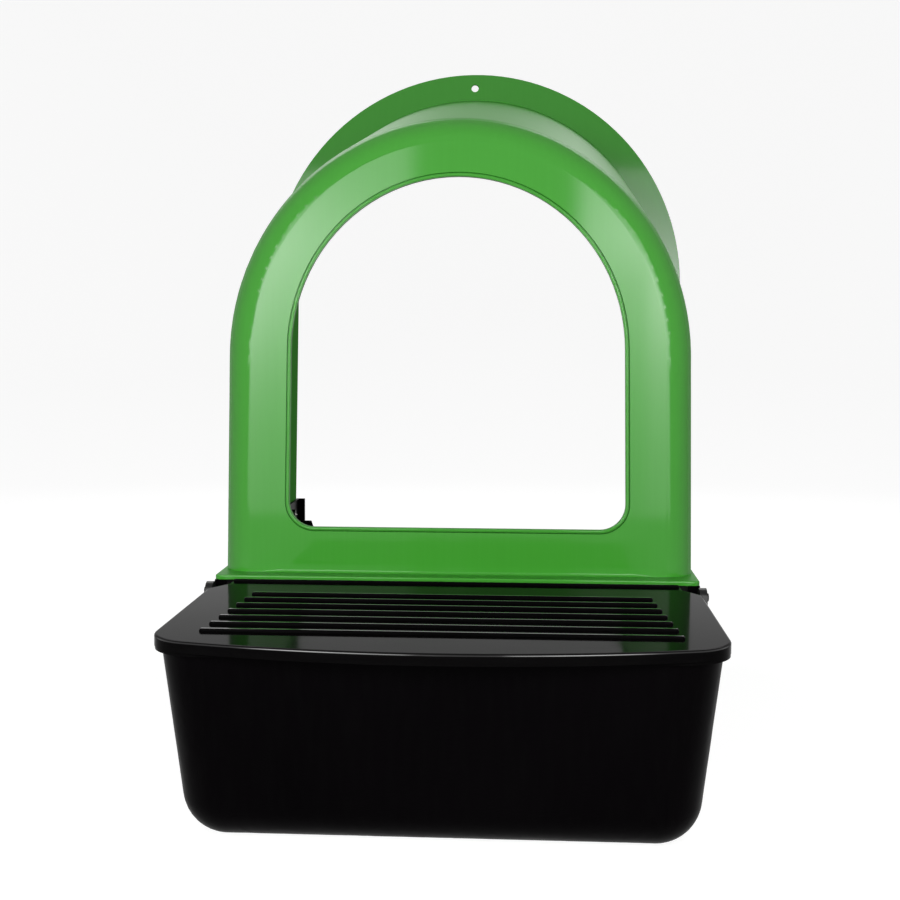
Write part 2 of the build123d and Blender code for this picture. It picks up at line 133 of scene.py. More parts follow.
def makeMouldSkin():
    # moulded skin: slow sink-mark waves plus fine orange peel, as one normal
    group, start, end = newGroup(
        "mouldSkin",
        [("Vector", "NodeSocketVector", None), ("Wave Height", "NodeSocketFloat", 0.0004),
         ("Peel Size", "NodeSocketFloat", 700.0), ("Peel Height", "NodeSocketFloat", 0.00001)],
        [("Normal", "NodeSocketVector")])
    waves = noiseNode(group, start.outputs["Vector"], *skinNumbers["waves"], (-600, 200))
    waveHeight = mathNode(group, "MULTIPLY", waves, start.outputs["Wave Height"], (-380, 200))
    peel = addNode(group, "ShaderNodeTexNoise", (-600, -100))
    setInputs(peel, Detail=skinNumbers["peelDetail"], Roughness=skinNumbers["peelRoughness"])
    feed(group, start.outputs["Vector"], peel.inputs["Vector"])
    feed(group, start.outputs["Peel Size"], peel.inputs["Scale"])
    peelHeight = mathNode(group, "MULTIPLY", peel.outputs["Fac"], start.outputs["Peel Height"],
                          (-380, -100))
    height = mathNode(group, "ADD", waveHeight, peelHeight, (-160, 60))
    bump = addNode(group, "ShaderNodeBump", (300, 0))
    setInputs(bump, Strength=1.0, Distance=1.0)
    feed(group, height, bump.inputs["Height"])
    feed(group, bump.outputs["Normal"], end.inputs["Normal"])
    return group


def makeFlowStreaks():
    # long thin streaks left by the melt and by wiping, drawn out along one axis of the vector
    group, start, end = newGroup(
        "flowStreaks",
        [("Vector", "NodeSocketVector", None), ("Stretch", "NodeSocketVector", (1.0, 1.0, 0.05)),
         ("Size", "NodeSocketFloat", 300.0), ("Amount", "NodeSocketFloat", 0.5)],
        [("Mask", "NodeSocketFloat")])
    stretched = addNode(group, "ShaderNodeVectorMath", (-650, 0), operation="MULTIPLY")
    feed(group, start.outputs["Vector"], stretched.inputs[0])
    feed(group, start.outputs["Stretch"], stretched.inputs[1])
    noise = addNode(group, "ShaderNodeTexNoise", (-450, 0))
    setInputs(noise, Detail=streakNumbers["detail"], Roughness=streakNumbers["roughness"])
    feed(group, stretched.outputs["Vector"], noise.inputs["Vector"])
    feed(group, start.outputs["Size"], noise.inputs["Scale"])
    picked = rampNode(group, noise.outputs["Fac"], streakNumbers["stops"], (-250, 0))
    mask = mathNode(group, "MULTIPLY", picked, start.outputs["Amount"], (50, 0), clamp=True)
    feed(group, mask, end.inputs["Mask"])
    return group


def makeFineScratches():
    # hairline scratches: thin bands of two turned waves, broken up by noise
    group, start, end = newGroup(
        "fineScratches",
        [("Vector", "NodeSocketVector", None), ("Size", "NodeSocketFloat", 40.0),
         ("Amount", "NodeSocketFloat", 0.3)],
        [("Mask", "NodeSocketFloat")])
    masks = []
    tipX, tipY = scratchNumbers["tips"]
    for turn, place in zip(scratchNumbers["turns"], (200, -200)):
        turned = addNode(group, "ShaderNodeMapping", (-700, place))
        turned.inputs["Rotation"].default_value = (turn * tipX, turn * tipY, turn)
        feed(group, start.outputs["Vector"], turned.inputs["Vector"])
        squeezed = addNode(group, "ShaderNodeVectorMath", (-540, place), operation="MULTIPLY")
        squeezed.inputs[1].default_value = scratchNumbers["squeeze"]
        feed(group, turned.outputs["Vector"], squeezed.inputs[0])
        lines = addNode(group, "ShaderNodeTexVoronoi", (-380, place), feature="DISTANCE_TO_EDGE")
        feed(group, squeezed.outputs["Vector"], lines.inputs["Vector"])
        feed(group, start.outputs["Size"], lines.inputs["Scale"])
        thin = rampNode(group, lines.outputs["Distance"], scratchNumbers["line"], (-180, place))
        patches = noiseNode(group, turned.outputs["Vector"], *scratchNumbers["patches"], (-380, place - 160))
        gaps = rampNode(group, patches, scratchNumbers["gaps"], (-180, place - 160))
        masks.append(mathNode(group, "MULTIPLY", thin, gaps, (120, place)))
    both = mathNode(group, "ADD", masks[0], masks[1], (300, 0), clamp=True)
    mask = mathNode(group, "MULTIPLY", both, start.outputs["Amount"], (460, 0))
    feed(group, mask, end.inputs["Mask"])
    return group


def makeDustFilm():
    # thin dust where a surface faces up, thicker in noise patches
    group, start, end = newGroup(
        "dustFilm",
        [("Vector", "NodeSocketVector", None), ("Normal", "NodeSocketVector", None),
         ("Amount", "NodeSocketFloat", 0.1)],
        [("Mask", "NodeSocketFloat")])
    split = addNode(group, "ShaderNodeSeparateXYZ", (-700, 150))
    feed(group, start.outputs["Normal"], split.inputs["Vector"])
    upward = rampNode(group, split.outputs["Z"], dustNumbers["upward"], (-500, 150))
    cloud = noiseNode(group, start.outputs["Vector"], *dustNumbers["cloud"], (-500, -100))
    speck = noiseNode(group, start.outputs["Vector"], *dustNumbers["speck"], (-500, -300))
    cloudMask = rampNode(group, cloud, dustNumbers["cloudStops"], (-300, -100))
    speckMask = rampNode(group, speck, dustNumbers["speckStops"], (-300, -300))
    mixed = mathNode(group, "MULTIPLY", cloudMask, speckMask, (-50, -150))
    placed = mathNode(group, "MULTIPLY", mixed, upward, (120, 0))
    mask = mathNode(group, "MULTIPLY", placed, start.outputs["Amount"], (300, 0), clamp=True)
    feed(group, mask, end.inputs["Mask"])
    return group


effects = {
    "mouldSkin": makeMouldSkin(),
    "flowStreaks": makeFlowStreaks(),
    "fineScratches": makeFineScratches(),
    "dustFilm": makeDustFilm(),
}


def placeGroup(tree, name, vector, place, **values):
    node = addNode(tree, "ShaderNodeGroup", place, node_tree=effects[name])
    feed(tree, vector, node.inputs["Vector"])
    return setInputs(node, **values)


def mixColour(tree, factor, first, second, place):
    node = addNode(tree, "ShaderNodeMix", place, data_type="RGBA", blend_type="MIX")
    for socket, value in ((node.inputs[0], factor), (node.inputs[6], first), (node.inputs[7], second)):
        if isinstance(value, (int, float)):
            socket.default_value = value
        elif isinstance(value, tuple):
            socket.default_value = (*value, 1)
        else:
            feed(tree, value, socket)
    return node.outputs[2]


# what all the plastics share: (detail, roughness) of their noises, and between which values each one works
plasticNumbers = {
    "drift": (3.0, 0.5), "driftFrom": 0.3, "driftTo": 0.7,
    "smudge": (4.0, 0.6), "smudgeFrom": 0.35, "smudgeTo": 0.7,
}


def plasticMaterial(name, look):
    # moulded polypropylene: tone drift, flow streaks, wipe scratches, orange peel and a little dust
    numbers = plasticNumbers
    material = bpy.data.materials.new(name)
    material.use_nodes = True
    tree = material.node_tree
    tree.nodes.clear()
    out = addNode(tree, "ShaderNodeOutputMaterial", (1100, 0))
    shader = addNode(tree, "ShaderNodeBsdfPrincipled", (800, 0))
    shader.inputs["IOR"].default_value = look["ior"]
    shader.inputs["Specular IOR Level"].default_value = look["specular"]
    coords = addNode(tree, "ShaderNodeTexCoord", (-1300, 0))
    point = coords.outputs["Object"]
    drift = noiseNode(tree, point, look["driftSize"], *numbers["drift"], (-1000, 400))
    driftMask = rampNode(tree, drift, [(numbers["driftFrom"], 0.0), (numbers["driftTo"], 1.0)], (-800, 400))
    tone = mixColour(tree, driftMask, look["colour"], look["colourTwo"], (-500, 400))
    streaks = placeGroup(tree, "flowStreaks", point, (-800, 150), Stretch=look["streakStretch"],
                         Size=look["streakSize"], Amount=look["streakAmount"])
    streaked = mixColour(tree, streaks.outputs["Mask"], tone, look["streakColour"], (-250, 300))
    dust = placeGroup(tree, "dustFilm", point, (-800, -350), Amount=look["dustAmount"])
    feed(tree, coords.outputs["Normal"], dust.inputs["Normal"])
    dusted = mixColour(tree, dust.outputs["Mask"], streaked, look["dustColour"], (0, 250))
    feed(tree, dusted, shader.inputs["Base Color"])
    scratches = placeGroup(tree, "fineScratches", point, (-800, -100), Size=look["scratchSize"],
                           Amount=look["scratchAmount"])
    cloud = noiseNode(tree, point, look["smudgeSize"], *numbers["smudge"], (-800, -600))
    smudgeStops = [(numbers["smudgeFrom"], look["roughness"]), (numbers["smudgeTo"], look["roughnessTwo"])]
    smudge = rampNode(tree, cloud, smudgeStops, (-500, -600))
    rough = mathNode(tree, "ADD", smudge, scratches.outputs["Mask"], (-200, -350))
    rougher = mathNode(tree, "ADD", rough, dust.outputs["Mask"], (0, -350), clamp=True)
    if "springHeight" in look:
        rougher = roughAside(tree, coords, rougher, look)
    feed(tree, rougher, shader.inputs["Roughness"])
    skin = placeGroup(tree, "mouldSkin", point, (100, -600), Wave_Height=look["waveHeight"],
                      Peel_Size=look["peelSize"], Peel_Height=look["peelHeight"])
    feed(tree, skin.outputs["Normal"], shader.inputs["Normal"])
    if "coatStops" in look:
        addPolish(tree, coords, shader, look)
    feed(tree, shader.outputs["BSDF"], out.inputs["Surface"])
    return material


def eased(tree, source, low, high, place):
    # smooth step from 0 at low to 1 at high
    node = addNode(tree, "ShaderNodeMapRange", place, interpolation_type="SMOOTHSTEP")
    setInputs(node, From_Min=low, From_Max=high)
    feed(tree, source, node.inputs["Value"])
    return node.outputs["Result"]


def splitVector(tree, source, place):
    node = addNode(tree, "ShaderNodeSeparateXYZ", place)
    feed(tree, source, node.inputs["Vector"])
    return node.outputs


def roughAside(tree, coords, rough, look):
    # the core side of the mould isn't polished: rough behind insideFrom where the normal points at the arch's
    # axis, so that its part along the radius is under insideFacing; satin wherever the surface isn't polished
    place = splitVector(tree, coords.outputs["Object"], (-1000, -900))
    above = mathNode(tree, "SUBTRACT", place["Z"], look["springHeight"], (-800, -950))
    lift = mathNode(tree, "MAXIMUM", above, 0.0, (-620, -950))
    radial = addNode(tree, "ShaderNodeCombineXYZ", (-440, -900))
    feed(tree, place["X"], radial.inputs["X"])
    feed(tree, lift, radial.inputs["Z"])
    unit = addNode(tree, "ShaderNodeVectorMath", (-260, -900), operation="NORMALIZE")
    feed(tree, radial.outputs["Vector"], unit.inputs[0])
    towards = addNode(tree, "ShaderNodeVectorMath", (-80, -900), operation="DOT_PRODUCT")
    feed(tree, unit.outputs["Vector"], towards.inputs[0])
    feed(tree, coords.outputs["Normal"], towards.inputs[1])
    facing = mathNode(tree, "LESS_THAN", towards.outputs["Value"], look["insideFacing"], (100, -900))
    behind = mathNode(tree, "GREATER_THAN", place["Y"], look["insideFrom"], (100, -1050))
    inside = mathNode(tree, "MULTIPLY", facing, behind, (280, -950))
    core = mathNode(tree, "MULTIPLY", inside, look["insideRoughness"], (440, -950))
    aside = mathNode(tree, "SUBTRACT", 1.0, polished(tree, coords, look), (440, -1150))
    satin = mathNode(tree, "MULTIPLY", aside, look["satinRoughness"], (600, -1100))
    rougher = mathNode(tree, "MAXIMUM", rough, core, (600, -800))
    return mathNode(tree, "MAXIMUM", rougher, satin, (760, -800))


def polished(tree, coords, look):
    # how polished the surface is, by how far its normal points the polished way
    along = addNode(tree, "ShaderNodeVectorMath", (-200, 700), operation="DOT_PRODUCT")
    feed(tree, coords.outputs["Normal"], along.inputs[0])
    along.inputs[1].default_value = look["polishWay"]
    return rampNode(tree, along.outputs["Value"], look["polishStops"], (0, 700))


def addPolish(tree, coords, shader, look):
    # a polished top layer; stops are (facing, weight), where facing is 0 square on and 1 at a grazing angle
    weight = addNode(tree, "ShaderNodeLayerWeight", (200, 500))
    weight.inputs["Blend"].default_value = 0.5
    fade = rampNode(tree, weight.outputs["Facing"], look["coatStops"], (400, 500))
    feed(tree, mathNode(tree, "MULTIPLY", fade, polished(tree, coords, look), (600, 500)),
         shader.inputs["Coat Weight"])
    shader.inputs["Coat Roughness"].default_value = look["coatRoughness"]


# hood: polished green polypropylene, left rough on its inside
hoodLook = {
    "colour": (0.055, 0.334, 0.031), "colourTwo": (0.052, 0.322, 0.029), "driftSize": 5.0,
    "streakStretch": (1.0, 1.0, 0.03), "streakSize": 420.0, "streakAmount": 0.30,
    "streakColour": (0.061, 0.350, 0.036),
    "dustAmount": 0.03, "dustColour": (0.45, 0.45, 0.38), "scratchSize": 34.0, "scratchAmount": 0.04,
    "smudgeSize": 18.0, "roughness": 0.070, "roughnessTwo": 0.095, "ior": 1.49, "specular": 0.07,
    "waveHeight": 0.00006, "peelSize": 420.0, "peelHeight": 0.0000006,
    "springHeight": 0.30, "insideFrom": -0.045, "insideFacing": -0.3, "insideRoughness": 0.9,
    "satinRoughness": 0.42, "polishWay": (0, -1, 0), "polishStops": [(0.45, 0.0), (0.85, 1.0)],
    "coatStops": [(0.0, 0.44), (1.0, 0.44)], "coatRoughness": 0.07,
}
# tub: black, satin outside
tubLook = {
    "colour": (0.0011, 0.0008, 0.0011), "colourTwo": (0.0017, 0.0013, 0.0017), "driftSize": 8.0,
    "streakStretch": (1.0, 1.0, 0.05), "streakSize": 260.0, "streakAmount": 0.25,
    "streakColour": (0.003, 0.003, 0.003),
    "dustAmount": 0.02, "dustColour": (0.12, 0.11, 0.10), "scratchSize": 30.0, "scratchAmount": 0.12,
    "smudgeSize": 12.0, "roughness": 0.30, "roughnessTwo": 0.40, "ior": 1.49, "specular": 0.012,
    "waveHeight": 0.0002, "peelSize": 900.0, "peelHeight": 0.000006,
}
# lid: black, polished enough to mirror the hood, most of all on its rounded edges
lidLook = {
    "colour": (0.0018, 0.0016, 0.0018), "colourTwo": (0.0026, 0.0024, 0.0025), "driftSize": 8.0,
    "streakStretch": (0.05, 1.0, 1.0), "streakSize": 260.0, "streakAmount": 0.25,
    "streakColour": (0.005, 0.005, 0.005),
    "dustAmount": 0.01, "dustColour": (0.20, 0.19, 0.17), "scratchSize": 30.0, "scratchAmount": 0.06,
    "smudgeSize": 16.0, "roughness": 0.08, "roughnessTwo": 0.12, "ior": 1.49, "specular": 0.009,
    "waveHeight": 0.00006, "peelSize": 700.0, "peelHeight": 0.0000010,
    "polishWay": (0, 0, 1),
    "polishStops": [(0.06, 0.0), (0.16, 1.0), (0.42, 1.0), (0.60, 0.15), (0.98, 0.15), (1.0, 0.4)],
    "coatStops": [(0.0, 1.0), (0.50, 1.0), (0.70, 0.0)], "coatRoughness": 0.08,
}
# lid ribs: dull sides, with a crown that wiping has polished
ribLook = lidLook | {
    "specular": 0.004, "polishStops": [(0.84, 0.0), (0.95, 1.0)],
    "coatStops": [(0.0, 0.15), (0.50, 0.15), (0.70, 1.0), (1.0, 1.0)], "coatRoughness": 0.06,
}
# nest floor: black with a fine spark-eroded grain
floorLook = {
    "colour": (0.010, 0.010, 0.010), "colourTwo": (0.013, 0.013, 0.012), "driftSize": 9.0,
    "streakStretch": (1.0, 0.05, 1.0), "streakSize": 200.0, "streakAmount": 0.2,
    "streakColour": (0.018, 0.018, 0.017),
    "dustAmount": 0.06, "dustColour": (0.22, 0.20, 0.16), "scratchSize": 26.0, "scratchAmount": 0.15,
    "smudgeSize": 14.0, "roughness": 0.45, "roughnessTwo": 0.55, "ior": 1.49, "specular": 0.2,
    "waveHeight": 0.0002, "peelSize": 1500.0, "peelHeight": 0.00006,
}
# hinge clips and pins: black nylon
hingeLook = {
    "colour": (0.005, 0.005, 0.005), "colourTwo": (0.007, 0.007, 0.007), "driftSize": 40.0,
    "streakStretch": (1.0, 1.0, 0.1), "streakSize": 600.0, "streakAmount": 0.2,
    "streakColour": (0.010, 0.010, 0.010),
    "dustAmount": 0.02, "dustColour": (0.20, 0.19, 0.17), "scratchSize": 160.0, "scratchAmount": 0.1,
    "smudgeSize": 60.0, "roughness": 0.32, "roughnessTwo": 0.42, "ior": 1.53, "specular": 0.2,
    "waveHeight": 0.00002, "peelSize": 2600.0, "peelHeight": 0.000008,
}
# groove beside the entrance's bead: painted shade, a darker green with no polish laid in for the groove's
# shadow
groovePaintedShadeLook = hoodLook | {
    "colour": (0.018, 0.150, 0.011), "colourTwo": (0.014, 0.125, 0.009), "specular": 0.05,
    "coatStops": [(0.0, 0.0), (1.0, 0.0)],
}


def screwMaterial(look):
    # zinc-plated steel: a fine grain, and yellowish clouding in the plating
    material = bpy.data.materials.new("screwZinc")
    material.use_nodes = True
    tree = material.node_tree
    tree.nodes.clear()
    out = addNode(tree, "ShaderNodeOutputMaterial", (700, 0))
    shader = addNode(tree, "ShaderNodeBsdfPrincipled", (400, 0))
    shader.inputs["Metallic"].default_value = 1.0
    coords = addNode(tree, "ShaderNodeTexCoord", (-900, 0))
    point = coords.outputs["Object"]
    cloud = noiseNode(tree, point, *look["cloud"], (-650, 200))
    tone = mixColour(tree, cloud, look["colour"], look["colourTwo"], (-300, 200))
    feed(tree, tone, shader.inputs["Base Color"])
    fine = noiseNode(tree, point, *look["grain"], (-650, -150))
    rough = rampNode(tree, fine, look["roughnessStops"], (-300, -150))
    feed(tree, rough, shader.inputs["Roughness"])
    skin = placeGroup(tree, "mouldSkin", point, (100, -300), Wave_Height=0.0,
                      Peel_Size=look["grain"][0], Peel_Height=look["grainHeight"])
    feed(tree, skin.outputs["Normal"], shader.inputs["Normal"])
    feed(tree, shader.outputs["BSDF"], out.inputs["Surface"])
    return material


screwLook = {
    "colour": (0.62, 0.62, 0.60), "colourTwo": (0.55, 0.53, 0.46), "cloud": (260.0, 3.0, 0.6),
    "grain": (4000.0, 2.0, 0.6), "grainHeight": 0.000002, "roughnessStops": [(0.3, 0.22), (0.7, 0.38)],
}

finishes = {
    "hoodGreen": plasticMaterial("hoodGreen", hoodLook),
    "tubBlack": plasticMaterial("tubBlack", tubLook),
    "lidBlack": plasticMaterial("lidBlack", lidLook),
    "ribBlack": plasticMaterial("ribBlack", ribLook),
    "floorBlack": plasticMaterial("floorBlack", floorLook),
    "hingeBlack": plasticMaterial("hingeBlack", hingeLook),
    "groovePaintedShade": plasticMaterial("groovePaintedShade", groovePaintedShadeLook),
    "screwZinc": screwMaterial(screwLook),
}
nodeFinishes = {
    "hood": "hoodGreen", "base_tub": "tubBlack", "egg_lid": "lidBlack", "nest_floor": "floorBlack",
    "hinge_clip_left": "hingeBlack", "hinge_clip_right": "hingeBlack",
    "hinge_pin_left": "hingeBlack", "hinge_pin_right": "hingeBlack", "hood_screws": "screwZinc",
}
for name, finish in nodeFinishes.items():
    slots = nodes[name].data.materials
    slots.clear()
    slots.append(finishes[finish])
print("materials placed")


# what the pieces made here share
def smoothStep(value, low, high):
    share = np.clip((value - low) / (high - low), 0.0, 1.0)
    return share * share * (3 - 2 * share)


def ringFaces(rings, sides):
    # triangles from the first point to ring one, squares from ring to ring, triangles to the last point
    step = np.arange(sides)
    after = (step + 1) % sides
    last = 1 + rings * sides
    faces = np.stack((np.zeros(sides, int), 1 + step, 1 + after), 1).tolist()
    for row in range(rings - 1):
        low = 1 + row * sides
        faces += np.stack((low + step, low + sides + step, low + sides + after, low + after), 1).tolist()
    low = last - sides
    return faces + np.stack((low + step, np.full(sides, last), low + after), 1).tolist()


def nodePoints(name):
    # the CAD node's points as rows of x, y and z
    mesh = nodes[name].data
    points = np.empty(len(mesh.vertices) * 3)
    mesh.vertices.foreach_get("co", points)
    return points.reshape(-1, 3)


def makePiece(name, points, faces, sharp=50):
    # smooth but for the edges that turn by more than the sharp angle, in degrees
    mesh = bpy.data.meshes.new(name)
    mesh.from_pydata(points.tolist(), [], faces)
    mesh.polygons.foreach_set("use_smooth", np.ones(len(faces), bool))
    mesh.set_sharp_from_angle(angle=math.radians(sharp))
    piece = bpy.data.objects.new(name, mesh)
    bpy.context.scene.collection.objects.link(piece)
    return piece


def finishPiece(piece, finish, body):
    piece.data.materials.append(finishes[finish])
    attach(piece, body)


# hood screws: pan heads with a cross recess, and a coarse thread that runs down to the point
screwShape = {
    "headRadius": 0.0045, "headHeight": 0.0026, "shankRadius": 0.0020, "coreRadius": 0.00145,
    "length": 0.0130, "pitch": 0.0014, "tipLength": 0.0028,
    # the cross: its reach, depth and arms, and how wide its edges and its ends soften
    "recessRadius": 0.0025, "recessDepth": 0.0015, "armWidth": 0.0010,
    "slotEdge": 0.00018, "slotEnds": 0.0004,
    # the dome's share of the head's radius and how much it drops; the rim's lowest share of the dome's edge
    "domeShare": 0.8, "domeDrop": 0.14, "rimShare": 0.35,
    # the thread's triangle wave, clipped at 1; the angle in degrees past which an edge stays sharp
    "crestTop": 1.4, "crestSlope": 4, "sharp": 40,
    "sides": 60, "headRows": 22, "rimRows": 7, "rowsPerTurn": 9,
}


def screwSurface(shape):
    # a profile of radius and height turned round the axis: a dome sunk by a cross of two slots, a round rim,
    # then a shank whose radius follows a triangle wave of (depth / pitch + turn) and closes to a point
    turn = np.linspace(0, 2 * math.pi, shape["sides"], endpoint=False)
    across = np.linspace(0.0, shape["domeShare"], shape["headRows"])[1:] * shape["headRadius"]
    dome = shape["headHeight"] * (1 - shape["domeDrop"] * (across / shape["headRadius"]) ** 2)
    radius, wide = np.meshgrid(across, turn, indexing="ij")
    arm = np.minimum(radius * np.abs(np.cos(wide)), radius * np.abs(np.sin(wide)))
    slot = 1 - smoothStep(arm, shape["armWidth"] / 2, shape["armWidth"] / 2 + shape["slotEdge"])
    slot *= 1 - smoothStep(radius, shape["recessRadius"] - shape["slotEnds"], shape["recessRadius"])
    top = np.stack((radius, dome[:, None] - shape["recessDepth"] * slot), -1)
    bend = np.linspace(0, math.pi / 2, shape["rimRows"])[1:]
    rimRadius = shape["headRadius"] * (shape["domeShare"] + (1 - shape["domeShare"]) * np.sin(bend))
    rimHeight = dome[-1] * (shape["rimShare"] + (1 - shape["rimShare"]) * np.cos(bend))
    rimRadius = np.concatenate((rimRadius, [shape["headRadius"], shape["shankRadius"]]))
    rimHeight = np.concatenate((rimHeight, [0.0, 0.0]))
    rim = np.stack((rimRadius, rimHeight), -1)[:, None].repeat(len(turn), 1)
    rows = round(shape["length"] / shape["pitch"] * shape["rowsPerTurn"])
    down = np.linspace(0, shape["length"], rows, endpoint=False)[1:]
    phase = (down[:, None] / shape["pitch"] + turn[None, :] / (2 * math.pi)) % 1.0
    wave = shape["crestTop"] - shape["crestSlope"] * np.abs(phase - 0.5)
    crest = np.clip(wave, 0.0, 1.0) * smoothStep(down, 0.0, shape["pitch"])[:, None]
    close = np.clip((shape["length"] - down) / shape["tipLength"], 0.0, 1.0)[:, None]
    thread = close * (shape["coreRadius"] + (shape["shankRadius"] - shape["coreRadius"]) * crest)
    shank = np.stack((thread, np.repeat(-down[:, None], len(turn), 1)), -1)
    rings = np.concatenate((top, rim, shank))
    radius, height = rings[..., 0], rings[..., 1]
    points = np.stack((radius * np.cos(turn), radius * np.sin(turn), height), -1).reshape(-1, 3)
    centre = shape["headHeight"] - shape["recessDepth"]
    points = np.vstack(([[0, 0, centre]], points, [[0, 0, -shape["length"]]]))
    return points, ringFaces(len(rings), len(turn))


# how far from the outermost point the head's outer ring reaches, and from the innermost one the tip's
headBand = 0.0006
tipBand = 0.0003


def screwPlaces():
    # head centre and tip of each screw, read from the CAD node: the outermost ring and the innermost
    points = np.unique(nodePoints("hood_screws").round(6), axis=0)
    middle = (points[:, 1].min() + points[:, 1].max()) / 2
    for side in (-1, 1):
        for rear in (False, True):
            own = points[(np.sign(points[:, 0]) == side) & ((points[:, 1] > middle) == rear)]
            reach = np.abs(own[:, 0])
            yield own[reach > reach.max() - headBand].mean(0), own[reach < reach.min() + tipBand].mean(0)


# how each screw was left when it was driven home, in radians: the first one's turn, and the next ones' steps
firstTwist = 0.5
twistStep = 1.1


def makeScrews(shape):
    points, faces = screwSurface(shape)
    allPoints, allFaces = [], []
    for number, (head, tip) in enumerate(screwPlaces()):
        axis = Vector(head - tip).normalized()
        side = Vector((0, 0, 1)).cross(axis).normalized()
        twist = Matrix.Rotation(firstTwist + twistStep * number, 3, "Z")
        turned = Matrix((side, axis.cross(side), axis)).transposed() @ twist
        seat = head - shape["headHeight"] * np.array(axis)
        offset = number * len(points)
        allPoints.append(points @ np.array(turned).T + seat)
        allFaces += [[index + offset for index in face] for face in faces]
    screws = makePiece("hoodScrewsTurned", np.vstack(allPoints), allFaces, shape["sharp"])
    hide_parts("hood_screws")
    finishPiece(screws, "screwZinc", "base")


makeScrews(screwShape)
print("screws made")


# entrance bead: the rolled edge round the entrance, and a strip of painted shade in the groove beside it
beadShape = {
    # the hood's entrance: face plane, rim height, and above the rim its sill and top; lean in degrees
    "face": -0.060, "rim": 0.118, "halfWidth": 0.1181, "arch": 0.1222, "top": 0.2843, "sill": 0.0364,
    "cornerRadius": 0.018, "lean": 0.9, "steps": {"sill": 24, "corner": 20, "side": 30, "arch": 64},
    # the bead's section: starts inside the entrance's edge, rounder than a box by the power
    "start": -0.00005, "width": 0.0023, "height": 0.0016, "power": 2.6, "sunk": 0.0002, "sides": 20,
}
# painted shade: a dark strip laid in the groove where its shadow falls
grooveShadeStripShape = {"start": 0.0022, "width": 0.0011, "height": -0.00022, "depth": 0.0002}


def entrancePath(shape):
    # right half from the sill's middle: line, corner arc, leaning side, quarter ellipse; then its mirror
    # image; the side meets the ellipse where the two have one direction, at the spring angle
    lean = math.radians(shape["lean"])
    spring = math.atan2(shape["arch"] * math.tan(lean), shape["halfWidth"])
    springHeight = shape["top"] - shape["arch"] + shape["arch"] * math.sin(spring)
    steps = shape["steps"]
    cornerZ = shape["sill"] + shape["cornerRadius"]
    sideX = shape["halfWidth"] * math.cos(spring) + (springHeight - cornerZ) * math.tan(lean)
    cornerX = sideX - shape["cornerRadius"] / math.cos(lean)
    turn = np.linspace(-math.pi / 2, lean, steps["corner"])
    corner = np.stack((cornerX + shape["cornerRadius"] * np.cos(turn),
                       cornerZ + shape["cornerRadius"] * np.sin(turn)), 1)
    sweep = np.linspace(spring, math.pi / 2, steps["arch"])
    arch = np.stack((shape["halfWidth"] * np.cos(sweep),
                     shape["top"] - shape["arch"] + shape["arch"] * np.sin(sweep)), 1)
    sill = np.linspace((0, shape["sill"]), corner[0], steps["sill"])[:-1]
    side = np.linspace(corner[-1], arch[0], steps["side"])[1:-1]
    half = np.concatenate((sill, corner, side, arch))
    path = np.concatenate((half, (half * (-1, 1))[-2:0:-1]))
    return path + (0, shape["rim"])


def sweptRing(name, path, section, face):
    # path points (x, z) with the section's (outward, forward) offsets: the point is path + outward * normal,
    # and y = face - forward
    along = np.roll(path, -1, 0) - np.roll(path, 1, 0)
    along /= np.linalg.norm(along, axis=1)[:, None]
    outward = np.stack((along[:, 1], -along[:, 0]), 1)
    flat = path[:, None, :] + outward[:, None, :] * section[None, :, :1]
    depth = np.broadcast_to(face - section[:, 1], flat.shape[:2])
    points = np.stack((flat[..., 0], depth, flat[..., 1]), -1).reshape(-1, 3)
    rings, sides = flat.shape[:2]
    ring, step = np.meshgrid(np.arange(rings), np.arange(sides), indexing="ij")
    nextRing, after = (ring + 1) % rings * sides, (step + 1) % sides
    faces = np.stack((ring * sides + step, ring * sides + after, nextRing + after, nextRing + step), -1)
    return makePiece(name, points, faces.reshape(-1, 4).tolist())


def makeEntranceTrim(shape, groove):
    # the bead's section: u runs from -1 to 1, forward = height * (1 - |u|^power)^(1 / power), then a base
    # that is sunk a little deeper; the groove's strip of painted shade is a dark box just under the face
    path = entrancePath(shape)
    across = np.cos(np.linspace(math.pi, 0, shape["sides"]))
    forward = (1 - np.abs(across) ** shape["power"]) ** (1 / shape["power"])
    section = np.stack((shape["start"] + shape["width"] * (across + 1) / 2, shape["height"] * forward), 1)
    section = np.concatenate((section, section[-1:] - (0, shape["sunk"]), section[:1] - (0, shape["sunk"])))
    bead = sweptRing("entranceBead", path, section, shape["face"])
    finishPiece(bead, "hoodGreen", "base")
    # the groove strip is painted shade, a dark box standing in for the groove's shadow
    low, high = groove["start"], groove["start"] + groove["width"]
    top, under = groove["height"], groove["height"] - groove["depth"]
    box = np.array([(low, under), (low, top), (high, top), (high, under)])
    shade = sweptRing("entranceGroovePaintedShade", path, box, shape["face"])
    finishPiece(shade, "groovePaintedShade", "base")


# rib beads: a fuller crown on each of the lid's ribs
ribShape = {
    # base is how far each bead starts below the rib's top, and overrun how far it passes the flat top's ends
    "width": 0.0032, "height": 0.00185, "base": 0.0016, "overrun": 0.0007, "power": 3.4, "endSteps": 8,
    "lengthSteps": 60, "sides": 24,
    # the ribs' tops are the points this near the lid's highest, and a jump in y this long parts two ribs
    "topBand": 0.00002, "split": 0.005,
}


def ribPlaces(shape):
    # middle, half-length and base of each rib, from the lid's highest points, grouped where y jumps
    points = nodePoints("egg_lid")
    tops = points[points[:, 2] > points[:, 2].max() - shape["topBand"]]
    tops = tops[np.argsort(tops[:, 1])]
    for top in np.split(tops, np.flatnonzero(np.diff(tops[:, 1]) > shape["split"]) + 1):
        middle = (top[:, 1].min() + top[:, 1].max()) / 2
        yield middle, top[:, 0].max() + shape["overrun"], top[0, 2] - shape["base"]


